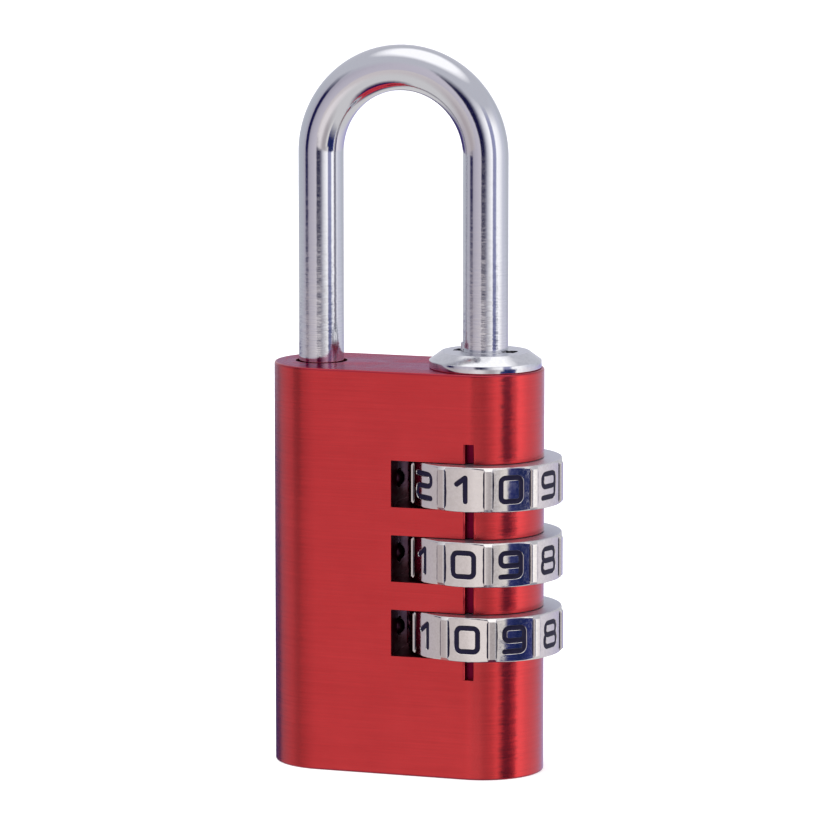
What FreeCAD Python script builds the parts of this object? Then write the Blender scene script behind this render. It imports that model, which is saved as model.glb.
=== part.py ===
import FreeCAD, Part
import math
import os

# Three-wheel combination padlock with a resettable code.
# All lengths are in millimetres. +Z is up and the index side faces -Y.
# The origin is the centre of the body's bottom face.

Vector = FreeCAD.Vector
UP = Vector(0, 0, 1)

# Driving dimensions: the body
body_width = 30.0
body_thickness = 13.2
body_height = 43.85
body_edge_chamfer = 0.2
axis_x = 8.65  # shared axis of the heel leg, the dials and the bore
toe_x = -9.98  # axis of the toe leg
bore_radius = 5.1
bore_floor_z = 4.0
toe_hole_radius = 2.82
toe_hole_depth = 7.0
index_x = axis_x + 0.28
index_width = 0.9
index_chamfer = 0.19
index_depth = 0.8
index_low_z = 10.9
index_high_z = 36.4

# Driving dimensions: the shackle
bar_radius = 2.45
arch_centre_z = 66.5
toe_engagement = 5.5
lift = 7.0

# Driving dimensions: the dials
dial_count = 3
dial_pitch = 8.1
top_dial_z = 31.82
facet_count = 10
rib_radius = 8.6
rib_degrees = 6.0
facet_edge_radius = 8.38
facet_middle_radius = 8.28
dial_height = 4.8
dial_edge_chamfer = 0.35
dial_bore_radius = 5.0
slot_height = 5.05
slot_drop = 0.05  # from the dial's centre down to its slot's
slot_floor_x = -0.3
slot_floor_radius = 45.0  # the slots are cut by a side milling cutter of this radius
dial_rest_turns = (2.1, 2.0, 5.0)  # play of each dial at rest, degrees
code_at_rest = (1, 0, 0)

# Driving dimensions: the numerals
numeral_width = 2.3  # between stroke centre lines
numeral_height = 2.54
numeral_shift = -0.09  # off the middle of its facet
numeral_stroke = 0.46
numeral_floor_radius = 8.12
enamel_thickness = 0.1

# Driving dimensions: the code sleeves
sleeve_radius = 4.55
sleeve_length = 8.0
sleeve_top_offset = 2.6  # above its dial's centre
sleeve_chamber_radius = 3.75
web_thickness = 2.0
web_hole_radius = 2.6
gate_radius = 3.55
gate_width = 2.0
tooth_tip_radius = 4.92
tooth_half_angle = 8.0
tooth_low_offset = 0.9
tooth_high_offset = 2.3
spline_tip_radius = 4.62
spline_half_angle = 8.5
spline_low_offset = 0.8

# Driving dimensions: lugs, key rib and stop ring on the heel leg
lug_radius = 3.4
lug_width = 1.6
lug_height = 1.8
lug_top_offset = -1.4  # from its dial's centre, shackle locked
heel_end_z = 11.4
rib_reach = 2.65
rib_width = 1.3
rib_low_z = 39.5
rib_high_z = 46.55
ring_thickness = 0.8
ring_radius = 4.0
ring_groove_radius = 2.0
ring_gap_degrees = 80.0
ring_stop_gap = 0.05  # left under the collar at full lift

# Driving dimensions: the collar
collar_rim_radius = 6.05
collar_rim_height = 0.85
collar_top_radius = 4.75
collar_height = 1.8
collar_hole_radius = 2.55
collar_skirt_bore_radius = 4.2
collar_skirt_low_z = 34.5
collar_web_low_z = 42.6
notch_radius = 3.5
notch_width = 1.8
ring_low_z = collar_web_low_z - ring_stop_gap - lift - ring_thickness

# Driving dimensions: detents, washer and clutch spring
ball_radius = 1.0
ball_y = -2.55
ball_clearance = 0.03
ball_hole_radius = 1.05
ball_hole_floor_x = -5.4
detent_coil_radius = 0.7
detent_wire_radius = 0.15
detent_coils = 4.5
washer_low_z = 9.35
washer_thickness = 0.8
washer_radius = 4.9
washer_hole_radius = 2.9
clutch_coil_radius = 4.0
clutch_wire_radius = 0.35
clutch_coils = 3.5
wire_sides = 8  # the springs' wire is drawn as an octagon

overcut = 1.0  # how far a cutting tool runs past the surface it cuts
hair = 0.02  # gap between a spring's end and the face that it rests on


def rod(radius, low_z, high_z, x=axis_x, y=0.0):
    return Part.makeCylinder(radius, high_z - low_z, Vector(x, y, low_z), UP)


def tube(inner, outer, low_z, high_z):
    hole = rod(inner, low_z - overcut, high_z + overcut)
    return rod(outer, low_z, high_z).cut(hole)


def block(low, high):
    size = [b - a for a, b in zip(low, high)]
    return Part.makeBox(size[0], size[1], size[2], Vector(*low))


def turned(shape, degrees):
    """A copy turned about the dial axis."""
    copy = shape.copy()
    copy.rotate(Vector(axis_x, 0, 0), UP, degrees)
    return copy


def around(shape, count, first_degrees=0.0):
    step = 360.0 / count
    return [turned(shape, first_degrees + step * i) for i in range(count)]


def tongue(reach, width, low_z, high_z):
    """A key on the heel leg's toe side: a bar out from the axis with a rounded tip."""
    bar = block((axis_x - 2 * reach, -width / 2, low_z), (axis_x, width / 2, high_z))
    return bar.common(rod(reach, low_z, high_z))


def ring_sector(inner, outer, low_z, high_z, half_angle):
    """A tooth: part of a ring, centred on the -X side of the axis."""
    profile = [
        Vector(axis_x - outer, 0, low_z),
        Vector(axis_x - inner, 0, low_z),
        Vector(axis_x - inner, 0, high_z),
        Vector(axis_x - outer, 0, high_z),
    ]
    face = Part.Face(Part.makePolygon(profile + profile[:1]))
    face.rotate(Vector(axis_x, 0, 0), UP, -half_angle)
    return face.revolve(Vector(axis_x, 0, 0), UP, 2 * half_angle)


def coil(centre, axis_turn, radius, wire_radius, turns, length):
    """A coil spring along +Z from centre, laid over by axis_turn."""
    pitch = (length - 2 * wire_radius) / turns
    helix = Part.makeHelix(pitch, pitch * turns, radius)
    helix.translate(Vector(0, 0, wire_radius))
    corners = []
    for i in range(wire_sides):
        a = math.tau * (i + 0.5) / wire_sides
        out = wire_radius * math.cos(a)
        corners.append(Vector(radius + out, 0, wire_radius * (1 + math.sin(a))))
    section = Part.makePolygon(corners + corners[:1])
    spring = Part.Wire(helix.Edges).makePipeShell([section], True, True)
    spring.Placement = FreeCAD.Placement(centre, axis_turn)
    return spring


def dial_centre_z(index):
    return top_dial_z - dial_pitch * index


def obround(width, thickness, low_z, high_z):
    end_x = (width - thickness) / 2
    half = thickness / 2
    corners = [Vector(-end_x, -half, low_z), Vector(end_x, -half, low_z)]
    back = [Vector(end_x, half, low_z), Vector(-end_x, half, low_z)]
    right = Part.Arc(corners[1], Vector(width / 2, 0, low_z), back[0]).toShape()
    left = Part.Arc(back[1], Vector(-width / 2, 0, low_z), corners[0]).toShape()
    front_edge = Part.makeLine(corners[0], corners[1])
    back_edge = Part.makeLine(back[0], back[1])
    outline = Part.Wire([front_edge, right, back_edge, left])
    return Part.Face(outline).extrude(Vector(0, 0, high_z - low_z))


def index_groove():
    """The cutter for the index groove, with a chamfer along its two long edges."""
    front = -body_thickness / 2
    half = index_width / 2
    mouth = half + index_chamfer + overcut
    profile = [
        (-mouth, front - overcut),
        (-half, front + index_chamfer),
        (-half, front + index_depth),
        (half, front + index_depth),
        (half, front + index_chamfer),
        (mouth, front - overcut),
    ]
    points = [Vector(index_x + x, y, index_low_z) for x, y in profile]
    face = Part.Face(Part.makePolygon(points + points[:1]))
    return face.extrude(Vector(0, 0, index_high_z - index_low_z))


def body():
    shape = obround(body_width, body_thickness, 0.0, body_height)
    rims = [e for e in shape.Edges if e.BoundBox.ZLength < 0.001]
    shape = shape.makeChamfer(body_edge_chamfer, rims)
    shape = shape.cut(rod(bore_radius, bore_floor_z, body_height + overcut))
    toe_floor = body_height - toe_hole_depth
    shape = shape.cut(rod(toe_hole_radius, toe_floor, body_height + overcut, toe_x))
    for index in range(dial_count):
        middle = dial_centre_z(index)
        cutter_x = slot_floor_x + slot_floor_radius
        low = middle - slot_drop - slot_height / 2
        high = low + slot_height
        shape = shape.cut(rod(slot_floor_radius, low, high, cutter_x))
        hole = Part.makeCylinder(
            ball_hole_radius,
            -ball_hole_floor_x + overcut,
            Vector(ball_hole_floor_x, ball_y, middle),
            Vector(1, 0, 0),
        )
        shape = shape.cut(hole)
    return shape.cut(index_groove())


def shackle():
    arch_radius = (axis_x - toe_x) / 2
    arch_x = (axis_x + toe_x) / 2
    section = Part.Face(
        Part.Wire(Part.makeCircle(bar_radius, Vector(axis_x, 0, arch_centre_z), UP))
    )
    shape = section.revolve(Vector(arch_x, 0, arch_centre_z), Vector(0, -1, 0), 180)
    heel = rod(bar_radius, heel_end_z, arch_centre_z)
    toe = rod(bar_radius, body_height - toe_engagement, arch_centre_z, toe_x)
    for leg in (heel, toe):
        tip = [e for e in leg.Edges if e.BoundBox.ZMax < leg.BoundBox.ZMin + 0.01]
        shape = shape.fuse(leg.makeChamfer(0.4, tip))
    for index in range(dial_count):
        high = dial_centre_z(index) + lug_top_offset
        shape = shape.fuse(tongue(lug_radius, lug_width, high - lug_height, high))
    shape = shape.fuse(tongue(rib_reach, rib_width, rib_low_z, rib_high_z))
    groove = tube(
        ring_groove_radius,
        bar_radius + overcut,
        ring_low_z - hair,
        ring_low_z + ring_thickness + hair,
    )
    return shape.cut(groove).removeSplitter()


def stop_ring():
    high = ring_low_z + ring_thickness
    shape = tube(ring_groove_radius + hair, ring_radius, ring_low_z, high)
    gap = ring_sector(
        ring_groove_radius / 2,
        ring_radius + overcut,
        ring_low_z - overcut,
        high + overcut,
        ring_gap_degrees / 2,
    )
    return shape.cut(turned(gap, 180))


def collar():
    outline = [
        (collar_hole_radius, collar_web_low_z),
        (collar_skirt_bore_radius, collar_web_low_z),
        (collar_skirt_bore_radius, collar_skirt_low_z),
        (bore_radius, collar_skirt_low_z),
        (bore_radius, body_height),
        (collar_rim_radius, body_height),
        (collar_rim_radius, body_height + collar_rim_height),
        (collar_top_radius, body_height + collar_height),
        (collar_hole_radius, body_height + collar_height),
    ]
    points = [Vector(axis_x + r, 0, z) for r, z in outline]
    face = Part.Face(Part.makePolygon(points + points[:1]))
    shape = face.revolve(Vector(axis_x, 0, 0), UP, 360)
    top = body_height + collar_height + overcut
    notch = tongue(notch_radius, notch_width, collar_web_low_z - overcut, top)
    for tool in around(notch, 2):
        shape = shape.cut(tool)
    return shape


def on_circle(radius, degrees, z):
    """A point round the dial axis, measured from the front towards +X."""
    a = math.radians(degrees)
    return Vector(axis_x + radius * math.sin(a), -radius * math.cos(a), z)


def dial_outline(z):
    """Ten shallow convex facets between ten raised ribs, the first facet facing -Y."""
    edges = []
    step = 360.0 / facet_count
    half_facet = (step - rib_degrees) / 2
    for i in range(facet_count):
        middle = step * i
        facet_start = on_circle(facet_edge_radius, middle - half_facet, z)
        facet_middle = on_circle(facet_middle_radius, middle, z)
        facet_end = on_circle(facet_edge_radius, middle + half_facet, z)
        rib_start = on_circle(rib_radius, middle + half_facet, z)
        rib_middle = on_circle(rib_radius, middle + step / 2, z)
        rib_end = on_circle(rib_radius, middle + step - half_facet, z)
        next_facet = on_circle(facet_edge_radius, middle + step - half_facet, z)
        edges.append(Part.Arc(facet_start, facet_middle, facet_end).toShape())
        edges.append(Part.makeLine(facet_end, rib_start))
        edges.append(Part.Arc(rib_start, rib_middle, rib_end).toShape())
        edges.append(Part.makeLine(rib_end, next_facet))
    return Part.Wire(edges)


def dial_blank(index):
    middle = dial_centre_z(index)
    low = middle - dial_height / 2
    high = middle + dial_height / 2
    shape = Part.Face(dial_outline(low)).extrude(Vector(0, 0, dial_height))
    envelope = rod(rib_radius, low, high)
    rims = [e for e in envelope.Edges if e.BoundBox.ZLength < 0.001]
    shape = shape.common(envelope.makeChamfer(dial_edge_chamfer, rims))
    shape = turned(shape, dial_rest_turns[index])
    shape = shape.cut(rod(dial_bore_radius, low - overcut, high + overcut))
    spline = ring_sector(
        spline_tip_radius,
        dial_bore_radius + 0.1,
        middle + spline_low_offset,
        high,
        spline_half_angle,
    )
    half_step = 180.0 / facet_count
    for tooth in around(spline, facet_count, half_step):
        shape = shape.fuse(tooth)
    return shape.removeSplitter()


# Corner points of a numeral: left, right; top, middle, bottom
LEFT = -numeral_width / 2
RIGHT = numeral_width / 2
TOP = numeral_height / 2
BOTTOM = -numeral_height / 2
STROKES = {
    "top": ((LEFT, TOP), (RIGHT, TOP)),
    "middle": ((LEFT, 0), (RIGHT, 0)),
    "bottom": ((LEFT, BOTTOM), (RIGHT, BOTTOM)),
    "upper left": ((LEFT, 0), (LEFT, TOP)),
    "upper right": ((RIGHT, 0), (RIGHT, TOP)),
    "lower left": ((LEFT, BOTTOM), (LEFT, 0)),
    "lower right": ((RIGHT, BOTTOM), (RIGHT, 0)),
    "stem": ((0.19, BOTTOM), (0.19, TOP)),
    "flag": ((-0.79, 0.55), (0.19, TOP)),
}
NUMERALS = (
    ("top", "bottom", "upper left", "upper right", "lower left", "lower right"),
    ("stem", "flag"),
    ("top", "upper right", "middle", "lower left", "bottom"),
    ("top", "upper right", "middle", "lower right", "bottom"),
    ("upper left", "middle", "upper right", "lower right"),
    ("top", "upper left", "middle", "lower right", "bottom"),
    ("top", "upper left", "middle", "lower left", "lower right", "bottom"),
    ("top", "upper right", "lower right"),
    tuple(name for name in STROKES if name not in ("stem", "flag")),
    ("top", "upper left", "upper right", "middle", "lower right", "bottom"),
)


def stroke_prism(start, end, depth):
    """One straight stroke with round ends, drawn in XZ and extruded along -Y."""
    radius = numeral_stroke / 2
    a = Vector(start[0], 0, start[1])
    b = Vector(end[0], 0, end[1])
    out = Vector(0, -1, 0)
    side = (b - a).normalize().cross(out) * radius
    outline = Part.makePolygon([a + side, b + side, b - side, a - side, a + side])
    shape = Part.Face(outline).extrude(out * depth)
    for point in (a, b):
        shape = shape.fuse(Part.makeCylinder(radius, depth, point, out))
    return shape


def numeral_prism(digit, depth):
    strokes = [stroke_prism(*STROKES[name], depth) for name in NUMERALS[digit]]
    return strokes[0].multiFuse(strokes[1:]).removeSplitter()


def numeral_set(index, depth):
    """The ten numerals of a dial as prisms standing on their floors."""
    shapes = []
    step = 360.0 / facet_count
    for facet in range(facet_count):
        digit = (code_at_rest[index] - facet) % facet_count
        shape = numeral_prism(digit, depth)
        shape.translate(
            Vector(axis_x + numeral_shift, -numeral_floor_radius, dial_centre_z(index))
        )
        shapes.append(turned(shape, step * facet + dial_rest_turns[index]))
    return shapes


def dial(index):
    shape = dial_blank(index)
    for tool in numeral_set(index, overcut):
        shape = shape.cut(tool)
    return shape


def numerals(index):
    return Part.makeCompound(numeral_set(index, enamel_thickness))


def sleeve(index):
    middle = dial_centre_z(index)
    high = middle + sleeve_top_offset
    low = high - sleeve_length
    web_low = high - web_thickness
    shape = rod(sleeve_radius, low, high)
    shape = shape.cut(rod(sleeve_chamber_radius, low - overcut, web_low))
    shape = shape.cut(rod(web_hole_radius, web_low - overcut, high + overcut))
    gate = tongue(gate_radius, gate_width, web_low - overcut, high + overcut)
    shape = shape.cut(gate)
    tooth = ring_sector(
        sleeve_radius - 0.1,
        tooth_tip_radius,
        middle + tooth_low_offset,
        middle + tooth_high_offset,
        tooth_half_angle,
    )
    for copy in around(tooth, facet_count):
        shape = shape.fuse(copy)
    return shape.removeSplitter()


def ball_centre_x():
    """The ball stands just clear of the circle that the ribs sweep."""
    reach = rib_radius + ball_radius + ball_clearance
    return axis_x - math.sqrt(reach**2 - ball_y**2)


def detent_ball(index):
    centre = Vector(ball_centre_x(), ball_y, dial_centre_z(index))
    return Part.makeSphere(ball_radius, centre)


def detent_spring(index):
    start = Vector(ball_hole_floor_x + hair, ball_y, dial_centre_z(index))
    lay_over = FreeCAD.Rotation(Vector(0, 1, 0), 90)
    length = ball_centre_x() - ball_radius - hair - start.x
    return coil(
        start, lay_over, detent_coil_radius, detent_wire_radius, detent_coils, length
    )


def thrust_washer():
    high = washer_low_z + washer_thickness
    return tube(washer_hole_radius, washer_radius, washer_low_z, high)


def clutch_spring():
    start = Vector(axis_x, 0, bore_floor_z + hair)
    length = washer_low_z - hair - start.z
    upright = FreeCAD.Rotation()
    return coil(
        start, upright, clutch_coil_radius, clutch_wire_radius, clutch_coils, length
    )


def main():
    os.makedirs("parts", exist_ok=True)
    nodes = {
        "body": body(),
        "shackle": shackle(),
        "stop_ring": stop_ring(),
        "collar": collar(),
        "thrust_washer": thrust_washer(),
        "clutch_spring": clutch_spring(),
    }
    for index in range(dial_count):
        number = index + 1
        nodes[f"dial_{number}"] = dial(index)
        nodes[f"numerals_{number}"] = numerals(index)
        nodes[f"sleeve_{number}"] = sleeve(index)
        nodes[f"detent_ball_{number}"] = detent_ball(index)
        nodes[f"detent_spring_{number}"] = detent_spring(index)
    for name, shape in nodes.items():
        sound = shape.isValid() and all(s.isClosed() for s in shape.Shells)
        state = "sound" if sound else "FAULTY"
        print(f"{name}: {len(shape.Solids)} solid(s), {shape.Volume:.2f} mm3, {state}")
        shape.exportStep(f"parts/{name}.step")


main()
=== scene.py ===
import math

import bmesh
import bpy
from mathutils import Matrix, Vector


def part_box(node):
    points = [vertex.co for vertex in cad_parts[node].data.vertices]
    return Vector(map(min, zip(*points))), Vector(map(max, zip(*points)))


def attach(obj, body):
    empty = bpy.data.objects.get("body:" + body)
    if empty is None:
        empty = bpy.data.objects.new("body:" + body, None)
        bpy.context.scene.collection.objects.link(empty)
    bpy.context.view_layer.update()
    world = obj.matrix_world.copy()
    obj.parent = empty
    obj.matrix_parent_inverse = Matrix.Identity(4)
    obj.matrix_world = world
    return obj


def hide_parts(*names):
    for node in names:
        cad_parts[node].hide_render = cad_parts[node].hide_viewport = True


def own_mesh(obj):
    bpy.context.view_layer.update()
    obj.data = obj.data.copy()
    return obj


# The looks of a three-wheel combination padlock, built round its CAD frame.
# Every piece is drawn in millimetres, in the frame's own axes, and becomes metres in finish_piece().

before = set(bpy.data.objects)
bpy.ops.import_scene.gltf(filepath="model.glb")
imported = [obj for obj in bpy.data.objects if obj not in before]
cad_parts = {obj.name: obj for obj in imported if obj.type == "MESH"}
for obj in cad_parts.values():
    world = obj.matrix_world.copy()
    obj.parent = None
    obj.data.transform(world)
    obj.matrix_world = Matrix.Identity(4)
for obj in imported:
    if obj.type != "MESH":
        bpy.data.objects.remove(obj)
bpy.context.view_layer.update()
scene = bpy.context.scene
MM = 0.001
UP = Vector((0, 0, 1))


def box_mm(node):
    low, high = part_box(node)
    return low / MM, high / MM


# Places and sizes read from the frame
body_low, body_high = box_mm("body")
shackle_low, shackle_high = box_mm("shackle")
collar_low, collar_high = box_mm("collar")
washer_low, washer_high = box_mm("thrust_washer")
ring_low, ring_high = box_mm("stop_ring")
axis_x = (washer_low.x + washer_high.x) / 2
dial_boxes = [box_mm(f"dial_{n}") for n in (1, 2, 3)]
dial_middles = [(low.z + high.z) / 2 for low, high in dial_boxes]
dial_height = dial_boxes[0][1].z - dial_boxes[0][0].z

# Driving dimensions: the body
rim_round = 0.2
edge_round = 0.07
bore_radius = 5.1
bore_floor_z = 4.0
toe_hole_radius = 2.82
toe_hole_depth = 7.0
index_x = axis_x + 0.28
index_width = 0.9
index_chamfer = 0.19
index_depth = 0.8
index_low_z = 10.9
index_high_z = 36.4
slot_height = 5.05
slot_drop = 0.05
slot_floor_x = -0.3
slot_floor_radius = 45.0
slot_half_reach = 8.0
over = 1.0  # how far a cutting shape runs past the surface that it cuts
cut_shade_depth = 0.25  # faces deeper than this under the body's side are inside a cut, and get the dark red of painted shade

# Driving dimensions: the shackle
bar_radius = 2.45
toe_x = shackle_low.x + bar_radius
arch_radius = (axis_x - toe_x) / 2
arch_centre_z = shackle_high.z - bar_radius - arch_radius
toe_end_z = body_high.z - 5.5
heel_end_z = shackle_low.z
tip_chamfer = 0.4
ring_groove_radius = 2.0
lug_radius = 3.4
lug_width = 1.6
lug_height = 1.8
lug_top_offset = -1.4
key_reach = 2.65
key_width = 1.3
key_low_z = 39.5
key_high_z = 46.55
key_round = 0.12

# Driving dimensions: the collar
collar_rim_height = 0.85
collar_top_radius = 4.75
collar_hole_radius = 2.55
collar_skirt_bore_radius = 4.2
collar_web_low_z = 42.6
collar_rim_radius = collar_high.x - axis_x
notch_radius = 3.5
notch_width = 1.8
collar_corner_round = 0.12
notch_edge_round = 0.05
press_gap = 0.01  # between the collar's skirt and the bore
seat_gap = 0.005  # under the collar's flange

# Driving dimensions: the dials
facet_count = 10
facet_step = 360.0 / facet_count
rib_radius = 8.6
rib_half_degrees = 3.0
rib_flank_degrees = 0.6
rib_round_degrees = 1.5
facet_middle_radius = 8.28
facet_curve_radius = 13.4
dial_edge_chamfer = 0.35
dial_bore_radius = 5.0
spline_tip_radius = 4.62
spline_half_degrees = 8.5
spline_low_offset = 0.8
dial_rest_turns = (2.1, 2.0, 5.0)
code_at_rest = (1, 0, 0)

# Driving dimensions: the numerals
numeral_width = 2.3
numeral_shift = -0.09
numeral_height = 2.54
numeral_corner = 0.5
recess_depth = 0.16
# Half width of the dark strips that paint shade into the corners at the rib feet
corner_shade_half_width = 0.085

# Driving dimensions: the detents and springs
ball_radius = 1.0
ball_hole_radius = 1.05
ball_hole_floor_x = -5.4
detent_wire_radius = 0.15
detent_coils = 4.5
clutch_wire_radius = 0.35
clutch_coils = 3.5


# ---- Outlines ---------------------------------------------------------------------------


def arc(centre, radius, start_degrees, end_degrees, steps):
    """Points on a circle, both ends included, angles from +X towards +Y."""
    points = []
    for i in range(steps + 1):
        a = math.radians(start_degrees + (end_degrees - start_degrees) * i / steps)
        points.append(Vector((centre[0] + radius * math.cos(a), centre[1] + radius * math.sin(a))))
    return points


def circle(centre, radius, sides):
    return arc(centre, radius, 0, 360, sides)[:-1]


def obround(inset):
    half = body_high.y - inset
    end_x = body_high.x - body_high.y
    return arc((end_x, 0), half, -90, 90, 48) + arc((-end_x, 0), half, 90, 270, 48)


def rounded(corners, radius, steps, closed=True):
    """The line through these corners, with an arc at each one."""
    points = []
    count = len(corners)
    for i, corner in enumerate(corners):
        if not closed and i in (0, count - 1):
            points.append(corner.copy())
            continue
        back = corners[i - 1] - corner
        ahead = corners[(i + 1) % count] - corner
        half = back.angle(ahead) / 2
        reach = min(radius / math.tan(half), 0.48 * back.length, 0.48 * ahead.length)
        true_radius = reach * math.tan(half)
        middle = (back.normalized() + ahead.normalized()).normalized()
        centre = corner + middle * (true_radius / math.sin(half))
        start = corner + back.normalized() * reach - centre
        end = corner + ahead.normalized() * reach - centre
        turn = start.angle_signed(end)
        for k in range(steps + 1):
            swung = start.copy()
            swung.rotate(Matrix.Rotation(-turn * k / steps, 2))
            points.append(centre + swung)
    return points


# ---- Mesh tools -------------------------------------------------------------------------


def to_object(name, bm):
    bmesh.ops.remove_doubles(bm, verts=bm.verts, dist=1e-5)
    bmesh.ops.recalc_face_normals(bm, faces=bm.faces)
    mesh = bpy.data.meshes.new(name)
    bm.to_mesh(mesh)
    bm.free()
    obj = bpy.data.objects.new(name, mesh)
    scene.collection.objects.link(obj)
    return obj


def apply_modifiers(obj):
    bpy.context.view_layer.update()
    graph = bpy.context.evaluated_depsgraph_get()
    made = bpy.data.meshes.new_from_object(
        obj.evaluated_get(graph), preserve_all_data_layers=True, depsgraph=graph
    )
    old = obj.data
    obj.modifiers.clear()
    obj.data = made
    bpy.data.meshes.remove(old)


def combine(obj, tool, operation="DIFFERENCE"):
    """Cuts the tool out of obj, or joins it on, and removes the tool."""
    modifier = obj.modifiers.new("combine", "BOOLEAN")
    modifier.operation = operation
    modifier.solver = "EXACT"
    modifier.object = tool
    apply_modifiers(obj)
    bpy.data.objects.remove(tool)


def bevel(obj, width, segments=2, angle=32.0, material=-1):
    modifier = obj.modifiers.new("bevel", "BEVEL")
    modifier.width = width
    modifier.segments = segments
    modifier.limit_method = "ANGLE"
    modifier.angle_limit = math.radians(angle)
    modifier.material = material
    apply_modifiers(obj)


def loft(name, rings, close_ends=True):
    """A skin over rings of equal length; each ring is a list of 3-D points."""
    bm = bmesh.new()
    rows = [[bm.verts.new(point) for point in ring] for ring in rings]
    for low, high in zip(rows, rows[1:]):
        for i in range(len(low)):
            j = (i + 1) % len(low)
            bm.faces.new((low[i], low[j], high[j], high[i]))
    if close_ends:
        bm.faces.new(list(reversed(rows[0])))
        bm.faces.new(rows[-1])
    else:
        for i in range(len(rows[0])):
            j = (i + 1) % len(rows[0])
            bm.faces.new((rows[-1][i], rows[-1][j], rows[0][j], rows[0][i]))
    return to_object(name, bm)


def prism(outline, low_z, high_z):
    rings = [[Vector((p.x, p.y, z)) for p in outline] for z in (low_z, high_z)]
    return loft("prism", rings)


def rod(radius, low_z, high_z, x=None, sides=96):
    centre = (axis_x if x is None else x, 0)
    return prism(circle(centre, radius, sides), low_z, high_z)


def lathe(name, profile, sides=128):
    """Turns a closed (radius, height) outline about the dial axis."""
    rings = []
    for i in range(sides):
        a = math.tau * i / sides
        rings.append([Vector((axis_x + p.x * math.cos(a), p.x * math.sin(a), p.y)) for p in profile])
    return loft(name, rings, close_ends=False)


def turn_about_axis(obj, degrees):
    """Turns a mesh about the dial axis, from the front towards +X."""
    centre = Matrix.Translation((axis_x, 0, 0))
    obj.data.transform(centre @ Matrix.Rotation(math.radians(degrees), 4, "Z") @ centre.inverted())


def tongue(reach, width, low_z, high_z):
    """A key standing out from the dial axis towards -X, with a tip on a circle."""
    half_angle = math.degrees(math.asin(width / 2 / reach))
    tip = arc((axis_x, 0), reach, 180 - half_angle, 180 + half_angle, 8)
    root = [Vector((axis_x, -width / 2)), Vector((axis_x, width / 2))]
    return prism(tip + root, low_z, high_z)


def join_objects(name, objects):
    """One object out of several."""
    bm = bmesh.new()
    for obj in objects:
        bm.from_mesh(obj.data)
        bpy.data.objects.remove(obj)
    mesh = bpy.data.meshes.new(name)
    bm.to_mesh(mesh)
    bm.free()
    joined = bpy.data.objects.new(name, mesh)
    scene.collection.objects.link(joined)
    return joined


def finish_piece(obj, name, body, materials, replaces=(), sharp_degrees=40.0):
    """Smooths the shading, brings the piece to metres and tells the frame what it is."""
    obj.name = name
    obj.data.name = name
    for material in materials:
        obj.data.materials.append(material)
    obj.data.transform(Matrix.Scale(MM, 4))
    obj.data.shade_smooth()
    obj.data.set_sharp_from_angle(angle=math.radians(sharp_degrees))
    weighted = obj.modifiers.new("normals", "WEIGHTED_NORMAL")
    weighted.keep_sharp = True
    weighted.weight = 80
    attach(obj, body)
    if replaces:
        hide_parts(*replaces)
    return obj


# ---- Materials --------------------------------------------------------------------------


def add(tree, kind, **settings):
    made = tree.nodes.new(kind)
    for key, value in settings.items():
        setattr(made, key, value)
    return made


def new_material(name, **values):
    material = bpy.data.materials.new(name)
    material.use_nodes = True
    shader = material.node_tree.nodes["Principled BSDF"]
    for key, value in values.items():
        shader.inputs[key.replace("_", " ")].default_value = value
    return material, material.node_tree, shader


def noise(tree, coordinates, stretch, detail=2.0, roughness=0.5):
    """Noise whose cells are 1/stretch metres along each axis."""
    mapping = add(tree, "ShaderNodeMapping")
    mapping.inputs["Scale"].default_value = stretch
    tree.links.new(coordinates, mapping.inputs["Vector"])
    texture = add(tree, "ShaderNodeTexNoise")
    texture.inputs["Scale"].default_value = 1.0
    texture.inputs["Detail"].default_value = detail
    texture.inputs["Roughness"].default_value = roughness
    tree.links.new(mapping.outputs["Vector"], texture.inputs["Vector"])
    return texture.outputs["Fac"]


def spread(tree, value, low, high, from_low=0.3, from_high=0.7):
    """The value, brought from one range to another."""
    node = add(tree, "ShaderNodeMapRange")
    for key, number in zip(("From Min", "From Max", "To Min", "To Max"), (from_low, from_high, low, high)):
        node.inputs[key].default_value = number
    tree.links.new(value, node.inputs["Value"])
    return node.outputs["Result"]


def blend_values(tree, share, first, second):
    node = add(tree, "ShaderNodeMix", data_type="FLOAT")
    tree.links.new(share, node.inputs["Factor"])
    tree.links.new(first, node.inputs["A"])
    tree.links.new(second, node.inputs["B"])
    return node.outputs["Result"]


def faded(tree, value, share):
    """A value between 0 and 1, drawn towards its middle where the share is low."""
    node = add(tree, "ShaderNodeMix", data_type="FLOAT")
    node.inputs["A"].default_value = 0.5
    tree.links.new(value, node.inputs["B"])
    tree.links.new(share, node.inputs["Factor"])
    return node.outputs["Result"]


def tint(tree, value, dark, light):
    ramp = add(tree, "ShaderNodeValToRGB")
    ramp.color_ramp.elements[0].position = 0.25
    ramp.color_ramp.elements[0].color = (*dark, 1)
    ramp.color_ramp.elements[1].position = 0.75
    ramp.color_ramp.elements[1].color = (*light, 1)
    tree.links.new(value, ramp.inputs["Fac"])
    return ramp.outputs["Color"]


def bump(tree, shader, height, distance, strength=1.0, after=None):
    node = add(tree, "ShaderNodeBump")
    node.inputs["Strength"].default_value = strength
    node.inputs["Distance"].default_value = distance
    tree.links.new(height, node.inputs["Height"])
    if after is not None:
        tree.links.new(after, node.inputs["Normal"])
    tree.links.new(node.outputs["Normal"], shader.inputs["Normal"])
    return node.outputs["Normal"]


def object_point(tree):
    return add(tree, "ShaderNodeTexCoord").outputs["Object"]


def level_tangent(tree, normal):
    """The level direction along the surface."""
    across = add(tree, "ShaderNodeVectorMath", operation="CROSS_PRODUCT")
    across.inputs[1].default_value = (0, 0, 1)
    tree.links.new(normal, across.inputs[0])
    unit = add(tree, "ShaderNodeVectorMath", operation="NORMALIZE")
    tree.links.new(across.outputs["Vector"], unit.inputs[0])
    return unit.outputs["Vector"]


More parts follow.
